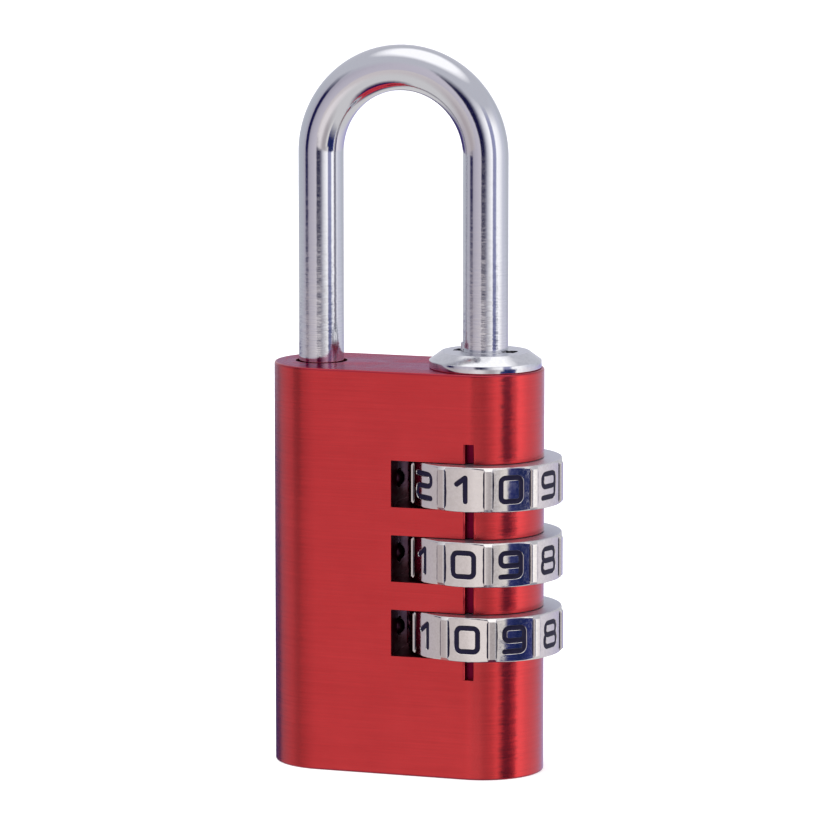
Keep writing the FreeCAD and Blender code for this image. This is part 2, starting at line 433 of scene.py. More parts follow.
def swayed(tree, normal, along, value, reach):
    """The normal, leaned to either side along a direction by a value between 0 and 1."""
    lean = add(tree, "ShaderNodeVectorMath", operation="SCALE")
    tree.links.new(along, lean.inputs[0])
    tree.links.new(spread(tree, value, -reach, reach), lean.inputs["Scale"])
    total = add(tree, "ShaderNodeVectorMath", operation="ADD")
    tree.links.new(normal, total.inputs[0])
    tree.links.new(lean.outputs["Vector"], total.inputs[1])
    unit = add(tree, "ShaderNodeVectorMath", operation="NORMALIZE")
    tree.links.new(total.outputs["Vector"], unit.inputs[0])
    return unit.outputs["Vector"]


def anodised(name, dark, light, low_rough, high_rough, **film):
    """Brushed aluminium under a dyed anodic film; the brush ran round the body, level."""
    material, tree, shader = new_material(
        name, Metallic=1.0, Anisotropic=0.75, Anisotropic_Rotation=0.25, Coat_Roughness=0.2, **film
    )
    point = object_point(tree)
    normal = add(tree, "ShaderNodeNewGeometry").outputs["Normal"]
    round_lines = noise(tree, point, (110, 110, 11000), 3.0, 0.65)
    flat_lines = noise(tree, point, (9000, 160, 160), 3.0, 0.6)
    facing = add(tree, "ShaderNodeSeparateXYZ")
    tree.links.new(add(tree, "ShaderNodeTexCoord").outputs["Normal"], facing.inputs["Vector"])
    flatness = add(tree, "ShaderNodeMath", operation="ABSOLUTE")
    tree.links.new(facing.outputs["Z"], flatness.inputs[0])
    is_flat = spread(tree, flatness.outputs["Value"], 0.0, 1.0, 0.8, 0.95)
    lines = blend_values(tree, is_flat, round_lines, flat_lines)
    clouds = noise(tree, point, (140, 140, 140), 4.0, 0.6)
    mixed = add(tree, "ShaderNodeMath", operation="MULTIPLY_ADD")
    mixed.inputs[1].default_value = 0.75
    tree.links.new(lines, mixed.inputs[0])
    tree.links.new(spread(tree, clouds, 0.0, 0.25, 0.2, 0.8), mixed.inputs[2])
    tree.links.new(tint(tree, mixed.outputs["Value"], dark, light), shader.inputs["Base Color"])
    tree.links.new(spread(tree, lines, low_rough, high_rough), shader.inputs["Roughness"])
    level = level_tangent(tree, normal)
    strokes = noise(tree, point, (650, 650, 7500), 2.0, 0.6)
    ragged = swayed(tree, normal, level, strokes, 0.035)
    bump(tree, shader, lines, 0.000004, 0.6, after=ragged)
    tree.links.new(level, shader.inputs["Tangent"])
    return material


def shaded_cut(name, dark, light):
    """The dull inside of a cut: feed marks of the cutter, made very dark as painted shade."""
    material, tree, shader = new_material(name, Metallic=1.0)
    point = object_point(tree)
    marks = noise(tree, point, (400, 400, 6500), 3.0, 0.6)
    tree.links.new(tint(tree, marks, dark, light), shader.inputs["Base Color"])
    tree.links.new(spread(tree, marks, 0.3, 0.48), shader.inputs["Roughness"])
    bump(tree, shader, marks, 0.000008, 0.5)
    return material


def swept_chrome(name):
    """Chrome plate over a ground steel bar: the grinding marks run round the bar."""
    material, tree, shader = new_material(name, Metallic=1.0)
    along = add(tree, "ShaderNodeUVMap", uv_map="sweep").outputs["UV"]
    height = add(tree, "ShaderNodeSeparateXYZ")
    tree.links.new(object_point(tree), height.inputs["Vector"])
    on_legs = spread(tree, height.outputs["Z"], 1.0, 0.12, 0.050, 0.062)
    marks = faded(tree, noise(tree, along, (0.35, 7.0, 1), 4.0, 0.7), on_legs)
    strokes = faded(tree, noise(tree, along, (0.7, 5.0, 1), 3.0, 0.65), on_legs)
    waves = noise(tree, along, (0.6, 0.9, 1), 2.0, 0.5)
    tree.links.new(tint(tree, marks, (0.60, 0.60, 0.63), (0.74, 0.74, 0.76)), shader.inputs["Base Color"])
    tree.links.new(spread(tree, marks, 0.05, 0.13), shader.inputs["Roughness"])
    normal = add(tree, "ShaderNodeNewGeometry").outputs["Normal"]
    tangent = add(tree, "ShaderNodeTangent", direction_type="UV_MAP", uv_map="sweep").outputs["Tangent"]
    ragged = swayed(tree, normal, tangent, strokes, 0.03)
    first = bump(tree, shader, waves, 0.00003, 0.25, after=ragged)
    bump(tree, shader, marks, 0.000006, 0.4, after=first)
    return material


def plated(name, dark, light, low_rough, high_rough, grain=2600.0, depth=0.000004):
    """A plated or polished metal with faint unevenness and a fine grain."""
    material, tree, shader = new_material(name, Metallic=1.0)
    point = object_point(tree)
    grains = noise(tree, point, (grain, grain, grain), 3.0, 0.6)
    waves = noise(tree, point, (420, 420, 420), 2.0, 0.5)
    tree.links.new(tint(tree, grains, dark, light), shader.inputs["Base Color"])
    tree.links.new(spread(tree, grains, low_rough, high_rough), shader.inputs["Roughness"])
    first = bump(tree, shader, waves, 0.00004, 0.4)
    bump(tree, shader, grains, depth, 0.5, after=first)
    return material


def enamel(name):
    """Paint run into the numerals, a little uneven as it dried; the same dark navy paints the shade strips
    along the rib feet.
    """
    material, tree, shader = new_material(name, Specular_IOR_Level=0.25)
    point = object_point(tree)
    grains = noise(tree, point, (3000, 3000, 3000), 3.0, 0.6)
    waves = noise(tree, point, (1500, 1500, 1500), 2.0, 0.5)
    colour = tint(tree, grains, (0.003, 0.002, 0.016), (0.010, 0.007, 0.036))
    tree.links.new(colour, shader.inputs["Base Color"])
    tree.links.new(spread(tree, grains, 0.34, 0.5), shader.inputs["Roughness"])
    bump(tree, shader, waves, 0.00004, 0.5)
    return material


red_side = anodised(
    "red_anodised",
    (0.54, 0.014, 0.018),
    (0.72, 0.034, 0.038),
    0.18,
    0.27,
    Coat_Weight=0.75,
)
# Painted shade: a darker, bluer copy of the red for the rounded rims and the bevels along the edges.
red_edge_shaded = anodised(
    "red_anodised_edge_shade",
    (0.36, 0.012, 0.03),
    (0.52, 0.035, 0.055),
    0.22,
    0.34,
    Coat_Weight=0.35,
)
# Painted reflection: the flat ends get a copy of the red with a purple tint on their grazing reflection and a
# slightly bluer colour.
red_end_painted_sheen = anodised(
    "red_anodised_end_sheen",
    (0.50, 0.02, 0.04),
    (0.66, 0.04, 0.06),
    0.24,
    0.34,
    Specular_Tint=(0.46, 0.34, 0.56, 1),
    Coat_Weight=0.3,
)
# Painted shade: the slots, ball holes, bore and index groove are coloured nearly black-red because they lie
# in shade.
red_cut_painted_shade = shaded_cut("red_cut_shade", (0.13, 0.003, 0.020), (0.21, 0.007, 0.038))
shackle_chrome = swept_chrome("shackle_chrome")
collar_chrome = plated("collar_chrome", (0.64, 0.64, 0.66), (0.74, 0.74, 0.75), 0.08, 0.16)
dial_chrome = plated("dial_chrome", (0.65, 0.62, 0.60), (0.75, 0.72, 0.70), 0.05, 0.12, 3200.0)
collar_top = plated("collar_top_chrome", (0.60, 0.61, 0.66), (0.74, 0.75, 0.78), 0.30, 0.45, 3000.0, 0.00001)
dial_end = plated("dial_end_chrome", (0.52, 0.54, 0.60), (0.68, 0.70, 0.76), 0.34, 0.5, 5200.0, 0.00001)
navy_enamel_and_shade = enamel("navy_enamel_and_shade")
brass = plated("brass", (0.60, 0.42, 0.17), (0.76, 0.56, 0.26), 0.18, 0.34, 1800.0)
steel = plated("steel", (0.42, 0.42, 0.43), (0.58, 0.58, 0.60), 0.16, 0.32, 2200.0)
# Painted shade: the detent balls sit deep in the dark slots, so their steel is coloured almost black.
ball_painted_shade = plated("ball_steel_shade", (0.03, 0.008, 0.02), (0.07, 0.025, 0.045), 0.28, 0.42, 2200.0)


# ---- Body -------------------------------------------------------------------------------


def body_block():
    """The obround bar with its two rims rounded over."""
    rings = []
    steps = 4
    for i in range(steps + 1):
        a = math.radians(90 * i / steps)
        inset = rim_round * (1 - math.sin(a))
        rings.append((inset, body_low.z + rim_round * (1 - math.cos(a))))
    for inset, height in reversed(rings[:]):
        rings.append((inset, body_low.z + body_high.z - height))
    return loft("body", [[Vector((p.x, p.y, z)) for p in obround(inset)] for inset, z in rings])


def slot_outline():
    """A dial slot seen from above: its floor is the arc that the milling cutter left."""
    half_degrees = math.degrees(math.asin(slot_half_reach / slot_floor_radius))
    centre = (slot_floor_x + slot_floor_radius, 0)
    floor = arc(centre, slot_floor_radius, 180 - half_degrees, 180 + half_degrees, 24)
    far_x = body_high.x + over
    return floor + [Vector((far_x, floor[-1].y)), Vector((far_x, floor[0].y))]


def ball_hole(index):
    low, high = box_mm(f"detent_ball_{index + 1}")
    centre = (low + high) / 2
    hole = prism(circle((0, 0), ball_hole_radius, 40), ball_hole_floor_x, slot_floor_x + over)
    to_x = Matrix(((0, 0, 1), (1, 0, 0), (0, 1, 0))).to_4x4()
    hole.data.transform(Matrix.Translation((0, centre.y, centre.z)) @ to_x)
    return hole


def groove_outline():
    """The index groove seen from above, with its long edges chamfered."""
    half = index_width / 2
    front = body_low.y
    right = [
        (half + index_chamfer + over, front - over),
        (half, front + index_chamfer),
        (half, front + index_depth),
    ]
    left = [(-x, y) for x, y in reversed(right)]
    return [Vector((index_x + x, y)) for x, y in right + left]


def inset_from_side(point):
    """How far a point of the body lies inside the obround's side."""
    beyond = max(abs(point.x) - (body_high.x - body_high.y), 0.0)
    return body_high.y - math.hypot(beyond, point.y)


def build_body():
    body = body_block()
    combine(body, rod(bore_radius, bore_floor_z, body_high.z + over))
    combine(body, rod(toe_hole_radius, body_high.z - toe_hole_depth, body_high.z + over, toe_x, 64))
    for index, middle in enumerate(dial_middles):
        slot_low = middle - slot_drop - slot_height / 2
        combine(body, prism(slot_outline(), slot_low, slot_low + slot_height))
        combine(body, ball_hole(index))
    combine(body, prism(groove_outline(), index_low_z, index_high_z))
    # The bevel's new faces take the darker copy of the red: painted shade along every edge.
    bevel(body, edge_round, material=1)
    for face in body.data.polygons:
        from_end = min(face.center.z - body_low.z, body_high.z - face.center.z)
        # Rim faces take the darker copy of the red: painted shade along the edges.
        if from_end < rim_round and 0.1 < abs(face.normal.z) < 0.99:
            face.material_index = 1
        # The flat ends take the purple-tinted copy: painted reflection.
        elif from_end < rim_round and abs(face.normal.z) > 0.99:
            face.material_index = 3
        # Faces inside the cuts take the nearly black-red: painted shade.
        elif from_end > rim_round and inset_from_side(face.center) > cut_shade_depth:
            face.material_index = 2
    materials = (red_side, red_edge_shaded, red_cut_painted_shade, red_end_painted_sheen)
    finish_piece(body, "body_shell", "housing", materials, ["body"])


# ---- Shackle ----------------------------------------------------------------------------


def shackle_stations():
    """(x, z, direction in degrees, radius) from the toe's tip over the arch to the heel's end."""
    tip = [
        (0.0, bar_radius - tip_chamfer - 0.08),
        (0.04, bar_radius - tip_chamfer),
        (tip_chamfer, bar_radius - 0.03),
        (tip_chamfer + 0.06, bar_radius),
    ]
    stations = [(toe_x, toe_end_z + rise, 90, radius) for rise, radius in tip]
    arch_steps = 72
    arch_x = (axis_x + toe_x) / 2
    for i in range(arch_steps + 1):
        a = math.radians(180 - 180 * i / arch_steps)
        x = arch_x + arch_radius * math.cos(a)
        z = arch_centre_z + arch_radius * math.sin(a)
        stations.append((x, z, 90 - 180 * i / arch_steps, bar_radius))
    for z, radius in (
        (ring_high.z + 0.02, bar_radius),
        (ring_high.z + 0.02, ring_groove_radius),
        (ring_low.z - 0.02, ring_groove_radius),
        (ring_low.z - 0.02, bar_radius),
    ):
        stations.append((axis_x, z, -90, radius))
    stations += [(axis_x, heel_end_z + rise, -90, radius) for rise, radius in reversed(tip)]
    return stations


def shackle_bar():
    """The bent bar, with a map of (round, along) in millimetres for its grinding marks."""
    sides = 64
    bm = bmesh.new()
    sweep_map = bm.loops.layers.uv.new("sweep")
    rows = []
    lengths = []
    travelled = 0.0
    stations = shackle_stations()
    for i, (x, z, degrees, radius) in enumerate(stations):
        if i:
            travelled += math.hypot(x - stations[i - 1][0], z - stations[i - 1][1])
        lengths.append(travelled)
        a = math.radians(degrees)
        side = Vector((math.sin(a), 0, -math.cos(a)))
        row = []
        for k in range(sides):
            b = math.tau * k / sides
            out = math.cos(b) * side + math.sin(b) * Vector((0, 1, 0))
            row.append(bm.verts.new(Vector((x, 0, z)) + radius * out))
        rows.append(row)
    girth = math.tau * bar_radius
    for i in range(len(rows) - 1):
        for k in range(sides):
            n = (k + 1) % sides
            face = bm.faces.new((rows[i][k], rows[i][n], rows[i + 1][n], rows[i + 1][k]))
            corners = ((k, i), (k + 1, i), (k + 1, i + 1), (k, i + 1))
            for loop, (column, row) in zip(face.loops, corners):
                loop[sweep_map].uv = (girth * column / sides, lengths[row])
    bm.faces.new(rows[0])
    bm.faces.new(rows[-1])
    return to_object("shackle", bm)


def build_shackle():
    shackle = shackle_bar()
    tongues = [(key_reach, key_width, key_low_z, key_high_z)]
    for middle in dial_middles:
        high = middle + lug_top_offset
        tongues.append((lug_radius, lug_width, high - lug_height, high))
    for shape in tongues:
        tool = tongue(*shape)
        bevel(tool, key_round)
        combine(shackle, tool, "UNION")
    finish_piece(shackle, "shackle_bar", "shackle", (shackle_chrome,), ["shackle"])


# ---- Collar -----------------------------------------------------------------------------


def build_collar():
    top = collar_high.z
    corners = (
        (collar_hole_radius, collar_web_low_z),
        (collar_skirt_bore_radius, collar_web_low_z),
        (collar_skirt_bore_radius, collar_low.z),
        (bore_radius - press_gap, collar_low.z),
        (bore_radius - press_gap, body_high.z + seat_gap),
        (collar_rim_radius, body_high.z + seat_gap),
        (collar_rim_radius, body_high.z + collar_rim_height),
        (collar_top_radius, top),
        (collar_hole_radius, top),
    )
    profile = rounded([Vector(corner) for corner in corners], collar_corner_round, 4)
    collar = lathe("collar", profile)
    for degrees in (0, 180):
        notch = tongue(notch_radius, notch_width, collar_web_low_z - over, top + over)
        turn_about_axis(notch, degrees)
        combine(collar, notch)
    bevel(collar, notch_edge_round)
    for face in collar.data.polygons:
        if face.normal.z > 0.95 and face.center.z > top - 0.02:
            face.material_index = 1
    finish_piece(collar, "collar_bush", "housing", (collar_chrome, collar_top), ["collar"])


# ---- Numerals ---------------------------------------------------------------------------

LEFT = -numeral_width / 2
RIGHT = numeral_width / 2
TOP = numeral_height / 2
BOTTOM = -numeral_height / 2
MIDDLE = 0.0

# A numeral's strokes: (closed, corner points along the middle of the stroke)
GLYPHS = (
    ((True, ((LEFT, BOTTOM), (RIGHT, BOTTOM), (RIGHT, TOP), (LEFT, TOP))),),
    ((False, ((-0.79, 0.55), (0.19, TOP))), (False, ((0.19, TOP), (0.19, BOTTOM)))),
    ((False, ((LEFT, TOP), (RIGHT, TOP), (RIGHT, MIDDLE), (LEFT, MIDDLE), (LEFT, BOTTOM), (RIGHT, BOTTOM))),),
    (
        (False, ((LEFT, TOP), (RIGHT, TOP), (RIGHT, BOTTOM), (LEFT, BOTTOM))),
        (False, ((-0.45, MIDDLE), (RIGHT, MIDDLE))),
    ),
    (
        (False, ((0.45, TOP), (0.45, BOTTOM))),
        (False, ((0.45, TOP), (LEFT, -0.45))),
        (False, ((LEFT, -0.45), (RIGHT, -0.45))),
    ),
    ((False, ((RIGHT, TOP), (LEFT, TOP), (LEFT, 0.1), (RIGHT, 0.1), (RIGHT, BOTTOM), (LEFT, BOTTOM))),),
    (
        (True, ((LEFT, BOTTOM), (RIGHT, BOTTOM), (RIGHT, 0.1), (LEFT, 0.1))),
        (False, ((LEFT, -0.6), (LEFT, TOP), (RIGHT, TOP))),
    ),
    ((False, ((LEFT, TOP), (RIGHT, TOP), (RIGHT, 0.5), (-0.1, -0.35), (-0.1, BOTTOM))),),
    (
        (True, ((LEFT + 0.1, -0.02), (RIGHT - 0.1, -0.02), (RIGHT - 0.1, TOP), (LEFT + 0.1, TOP))),
        (True, ((LEFT, BOTTOM), (RIGHT, BOTTOM), (RIGHT, 0.02), (LEFT, 0.02))),
    ),
    (
        (True, ((LEFT, -0.1), (RIGHT, -0.1), (RIGHT, TOP), (LEFT, TOP))),
        (False, ((RIGHT, 0.6), (RIGHT, BOTTOM), (LEFT, BOTTOM))),
    ),
)
# Sections of a stroke: (height over the facet, half width), from the bottom up
RECESS_SECTION = ((-recess_depth, 0.215), (-0.045, 0.245), (0.08, 0.37))
ENAMEL_SECTION = ((-recess_depth + 0.004, 0.209), (-0.048, 0.241), (-0.066, 0.13))


def normals_along(path, closed):
    """Unit normals to the right of a path, stretched at its corners."""
    normals = []
    count = len(path)
    for i in range(count):
        before = path[i - 1] if closed or i else None
        after = path[(i + 1) % count] if closed or i < count - 1 else None
        sides = []
        if before is not None:
            sides.append((path[i] - before).normalized())
        if after is not None:
            sides.append((after - path[i]).normalized())
        across = [Vector((d.y, -d.x)) for d in sides]
        mean = sum(across, Vector((0, 0))).normalized()
        normals.append(mean / mean.dot(across[0]))
    return normals


def open_outline(path, normals, half_width):
    """The edge of a stroke with round ends."""
    cap_steps = 8
    outline = [p + n * half_width for p, n in zip(path, normals)]
    for end, normal, far_side in ((path[-1], normals[-1], -1), (path[0], -normals[0], 1)):
        for i in range(1, cap_steps):
            swung = normal.copy()
            swung.rotate(Matrix.Rotation(math.pi * i / cap_steps, 2))
            outline.append(end + swung * half_width)
        if far_side < 0:
            outline += [p - n * half_width for p, n in zip(reversed(path), reversed(normals))]
    return outline


def stroke(corners, closed, section):
    path = rounded([Vector(c) for c in corners], numeral_corner, 7, closed)
    normals = normals_along(path, closed)
    if closed:
        rings = []
        for p, n in zip(path, normals):
            outer = [Vector((*(p + n * width), height)) for height, width in section]
            inner = [Vector((*(p - n * width), height)) for height, width in reversed(section)]
            rings.append(outer + inner)
        return loft("stroke", rings, close_ends=False)
    rings = []
    for height, width in section:
        rings.append([Vector((*p, height)) for p in open_outline(path, normals, width)])
    return loft("stroke", rings)


def numeral(digit, section):
    """A numeral lying flat: x to the right, y up, z out of the facet."""
    strokes = [stroke(corners, closed, section) for closed, corners in GLYPHS[digit]]
    for other in strokes[1:]:
        combine(strokes[0], other, "UNION")
    return strokes[0]


def wrap_on_facet(mesh, index, facet):
    """Bends a flat numeral round a facet of a dial."""
    turn = math.radians(facet_step * facet + dial_rest_turns[index])
    depth = facet_middle_radius - facet_curve_radius
    for vertex in mesh.vertices:
        across, up, out = vertex.co
        a = (across + numeral_shift) / facet_curve_radius
        reach = facet_curve_radius + out
        x = reach * math.sin(a)
        y = depth + reach * math.cos(a)
        vertex.co = (
            axis_x + x * math.cos(turn) + y * math.sin(turn),
            x * math.sin(turn) - y * math.cos(turn),
            dial_middles[index] + up,
        )


def numeral_ring(index, patterns):
    """All ten numerals of a dial in one object, made from the flat patterns."""
    copies = []
    for facet in range(facet_count):
        pattern = patterns[(code_at_rest[index] - facet) % facet_count]
        copy = bpy.data.objects.new("numeral", pattern.data.copy())
        scene.collection.objects.link(copy)
        wrap_on_facet(copy.data, index, facet)
        copies.append(copy)
    return join_objects("numerals", copies)


# ---- Dials ------------------------------------------------------------------------------


def smooth(share):
    share = min(1.0, max(0.0, share))
    return share * share * (3 - 2 * share)


def rib_foot_degrees():
    """Where a rib's flank leaves its facet, from the facet's middle."""
    return facet_step / 2 - rib_half_degrees - rib_flank_degrees / 2


def dial_radius(degrees):
    """The dial's outline: shallow convex facets, and ribs with rounded flanks."""
    from_facet = (degrees + facet_step / 2) % facet_step - facet_step / 2
    a = math.radians(from_facet)
    depth = facet_middle_radius - facet_curve_radius
    facet = depth * math.cos(a) + math.sqrt(facet_curve_radius**2 - (depth * math.sin(a)) ** 2)
    from_foot = abs(from_facet) - rib_foot_degrees()
    flank = smooth(from_foot / rib_flank_degrees)
    crown = 1 - (1 - min(1.0, max(0.0, from_foot / rib_round_degrees))) ** 2
    return facet + (rib_radius - facet) * flank * (0.7 + 0.3 * crown)


def dial_columns():
    """Angles of the dial's mesh columns: dense on the rib flanks and at the spline's sides."""
    half = facet_step / 2
    foot = rib_foot_degrees()
    flank_steps = 6
    crown = rib_round_degrees - rib_flank_degrees
    # Degrees from the middle of a facet to the middle of the next rib
    sector = [0.0, 2.4, 4.8, 7.2]
    sector += [half - spline_half_degrees - 0.2, half - spline_half_degrees + 0.2, 12.0, foot - 0.4]
    sector += [foot + rib_flank_degrees * i / flank_steps for i in range(flank_steps + 1)]
    sector += [foot + rib_flank_degrees + crown * share for share in (0.33, 0.66, 1.0)]
    sector.append(half)
    mirrored = [facet_step - a for a in reversed(sector[1:-1])]
    columns = []
    for k in range(facet_count):
        columns += [facet_step * k + a for a in sector + mirrored]
    return columns


def dial_ring(index):
    """Rings of points up the outside, over the end and down the bore, closed on themselves."""
    columns = dial_columns()
    middle = dial_middles[index]
    half = dial_height / 2
    end_radius = rib_radius - dial_edge_chamfer

    def row(height, radius_at):
        ring = []
        for degrees in columns:
            a = math.radians(degrees + dial_rest_turns[index])
            radius = radius_at(degrees)
            ring.append(Vector((axis_x + radius * math.sin(a), -radius * math.cos(a), middle + height)))
        return ring

    def limited(limit):
        return lambda degrees: min(dial_radius(degrees), limit)

    def bore(degrees):
        return dial_bore_radius

    def splined(degrees):
        from_tooth = abs(degrees % facet_step - facet_step / 2)
        return spline_tip_radius if from_tooth < spline_half_degrees else dial_bore_radius

    chamfer = [(0.0, end_radius - 0.04), (0.015, end_radius)]
    steps = 6
    for i in range(1, steps + 1):
        rise = dial_edge_chamfer * i / steps
        chamfer.append((0.015 + rise, end_radius + rise))
    chamfer.append((0.44, rib_radius))
    rings = [row(-half + rise, limited(limit)) for rise, limit in chamfer]
    rings += [row(height, dial_radius) for height in (-1.2, -0.4, 0.4, 1.2)]
    rings += [row(half - rise, limited(limit)) for rise, limit in reversed(chamfer)]
    rings += [row(half, splined), row(spline_low_offset, splined)]
    rings += [row(spline_low_offset, bore), row(-half, bore)]
    return loft("dial", rings, close_ends=False)


def rib_corner_shade(index):
    """Thin dark strips in the corners along the ribs: painted shade in the creases at each rib's foot."""
    levels = 24
    reach = dial_height / 2 - 0.45
    shade_strips = []
    for k in range(2 * facet_count):
        side = 1 if k % 2 else -1
        degrees = facet_step * (k // 2) + side * (rib_foot_degrees() - 0.1) + dial_rest_turns[index]
        radius = dial_radius(rib_foot_degrees()) + 0.03
        a = math.radians(degrees)
        out = Vector((math.sin(a), -math.cos(a), 0))
        along = Vector((math.cos(a), math.sin(a), 0))
        rings = []
        for i in range(levels + 1):
            share = i / levels
            height = reach * (2 * share - 1)
            ends = math.sin(math.pi * share) ** 0.25
            wander = 0.02 * math.sin(5 * share + 2.1 * k) + 0.012 * math.sin(19 * share + k)
            half = (corner_shade_half_width + wander) * ends + 0.004
            centre = Vector((axis_x, 0, dial_middles[index] + height)) + out * radius
            corners = ((-half, -0.05), (half, -0.05), (half, 0.0), (-half, 0.0))
            rings.append([centre + along * x + out * y for x, y in corners])
        shade_strips.append(loft("corner_shade_strip", rings))
    return shade_strips


def build_dials():
    recess_patterns = [numeral(digit, RECESS_SECTION) for digit in range(facet_count)]
    enamel_patterns = [numeral(digit, ENAMEL_SECTION) for digit in range(facet_count)]
    for index in range(3):
        number = index + 1
        dial = dial_ring(index)
        combine(dial, numeral_ring(index, recess_patterns))
        ride_on = f"dial_{number}"
        for face in dial.data.polygons:
            from_middle = abs(face.center.z - dial_middles[index])
            if abs(face.normal.z) > 0.95 and from_middle > dial_height / 2 - 0.02:
                face.material_index = 1
        materials = (dial_chrome, dial_end)
        finish_piece(dial, f"dial_{number}_wheel", ride_on, materials, [f"dial_{number}"])
        # The numerals' enamel and the painted shade strips at the rib feet share one object and one material.
        numeral_paint_and_shade = join_objects("enamel", [numeral_ring(index, enamel_patterns)] + rib_corner_shade(index))
        numerals = [f"numerals_{number}"]
        finish_piece(numeral_paint_and_shade, f"dial_{number}_enamel", ride_on, (navy_enamel_and_shade,), numerals)
    for pattern in recess_patterns + enamel_patterns:
        bpy.data.objects.remove(pattern)


# ---- Detents, springs and hidden pieces -------------------------------------------------


def coil(name, start, along, across, radius, wire_radius, turns, length):
    """A coil spring with closed ends, its axis from start along a unit vector."""
    third = along.cross(across)
    steps = int(turns * 40)
    wire_sides = 14
    closed_turns = 0.75
    closed_rise = 0.55  # wire thicknesses that a closed end turn climbs
    rings = []

    def height(share):
        """Travel along the axis: slow over the closed end turns, even between them."""
        t = share * turns
        slow = 2 * wire_radius / closed_turns * closed_rise
        middle_turns = turns - 2 * closed_turns
        fast = (length - 2 * wire_radius - 2 * slow * closed_turns) / middle_turns
        if t < closed_turns:
            return t * slow
        if t > turns - closed_turns:
            return length - 2 * wire_radius - (turns - t) * slow
        return closed_turns * slow + (t - closed_turns) * fast

    for i in range(steps + 1):
        share = i / steps
        a = math.tau * turns * share
        out = across * math.cos(a) + third * math.sin(a)
        centre = start + out * radius + along * (wire_radius + height(share))
        ring = []
        for k in range(wire_sides):
            b = math.tau * k / wire_sides
            ring.append(centre + wire_radius * (math.cos(b) * out + math.sin(b) * along))
        rings.append(ring)
    return loft(name, rings)


def build_clutch_spring():
    low, high = box_mm("clutch_spring")
    length = high.z - low.z
    radius = (high.x - low.x) / 2 - clutch_wire_radius
    start = Vector((axis_x, 0, low.z))
    spring = coil("clutch", start, UP, Vector((1, 0, 0)), radius, clutch_wire_radius, clutch_coils, length)
    finish_piece(spring, "clutch_coil", "washer", (steel,), ["clutch_spring"])
    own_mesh(spring)


def build_detents():
    for number in (1, 2, 3):
        node = f"detent_spring_{number}"
        low, high = box_mm(node)
        radius = (high.z - low.z) / 2 - detent_wire_radius
        start = Vector((low.x, (low.y + high.y) / 2, (low.z + high.z) / 2))
        length = high.x - low.x
        to_x = Vector((1, 0, 0))
        spring = coil("detent", start, to_x, UP, radius, detent_wire_radius, detent_coils, length)
        finish_piece(spring, f"detent_coil_{number}", "housing", (steel,), [node])
        node = f"detent_ball_{number}"
        low, high = box_mm(node)
        bm = bmesh.new()
        bmesh.ops.create_cube(bm, size=2.0)
        bmesh.ops.subdivide_edges(bm, edges=bm.edges, cuts=9, use_grid_fill=True)
        for vertex in bm.verts:
            vertex.co = (low + high) / 2 + vertex.co.normalized() * ball_radius
        ball = to_object("ball", bm)
        finish_piece(ball, f"detent_bead_{number}", f"detent_{number}", (ball_painted_shade,), [node])


def dress_cad_nodes():
    """The inner pieces that keep their CAD shape get their metal here."""
    dressed = {"thrust_washer": steel, "stop_ring": steel}
    for number in (1, 2, 3):
        dressed[f"sleeve_{number}"] = brass
    for name, material in dressed.items():
        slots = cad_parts[name].data.materials
        slots.clear()
        slots.append(material)


# ---- Studio -----------------------------------------------------------------------------

camera_azimuth = 18.534
camera_elevation = 8.442
camera_distance = 567.0
camera_aim = Vector((0.52, 0, 38.46))
camera_lens = 228.8
floor_radius = 1500.0
sweep_radius = 900.0
room_height = 4000.0


def build_camera():
    a = math.radians(camera_azimuth)
    e = math.radians(camera_elevation)
    back = Vector((math.sin(a) * math.cos(e), -math.cos(a) * math.cos(e), math.sin(e)))
    data = bpy.data.cameras.new("camera")
    data.sensor_width = 36.0
    data.lens = camera_lens
    camera = bpy.data.objects.new("camera", data)
    camera.location = (camera_aim + back * camera_distance) * MM
    camera.rotation_mode = "QUATERNION"
    camera.rotation_quaternion = (-back).to_track_quat("-Z", "Y")
    scene.collection.objects.link(camera)
    scene.camera = camera


# The room that the metal reflects. Each row of walls is a ring of (degrees, colour) stops, with 0 degrees
# behind the camera and positive degrees to its right.
LOW_WALLS = (
    (-180, (0.05, 0.03, 0.14)),
    (-134, (0.06, 0.05, 0.20)),
    (-124, (0.38, 0.34, 0.46)),
    (-105, (0.60, 0.55, 0.62)),
    (-84, (0.64, 0.59, 0.62)),
    (-75, (0.57, 0.51, 0.53)),
    (-64, (0.58, 0.52, 0.54)),
    (-50, (0.70, 0.65, 0.67)),
    (-30, (0.82, 0.76, 0.77)),
    (-22, (1.02, 0.96, 0.97)),
    (-8, (1.02, 0.96, 0.97)),
    (0, (0.70, 0.66, 0.68)),
    (6, (0.54, 0.50, 0.52)),
    (18, (0.52, 0.49, 0.51)),
    (25, (0.66, 0.63, 0.65)),
    (31, (0.90, 0.87, 0.86)),
    (35, (1.04, 1.02, 0.98)),
    (37, (0.03, 0.04, 0.19)),
    (50, (0.01, 0.02, 0.10)),
    (64, (0.03, 0.04, 0.22)),
    (67, (1.35, 1.35, 1.36)),
    (78, (1.28, 1.26, 1.28)),
    (88, (1.02, 0.98, 1.04)),
    (112, (0.80, 0.78, 0.90)),
    (150, (0.50, 0.48, 0.76)),
    (180, (0.42, 0.40, 0.66)),
)
# Nearer the floor the dark card beside the camera is wider
FOOT_WALLS = tuple((a - 6 if 20 < a < 40 else a, colour) for a, colour in LOW_WALLS)
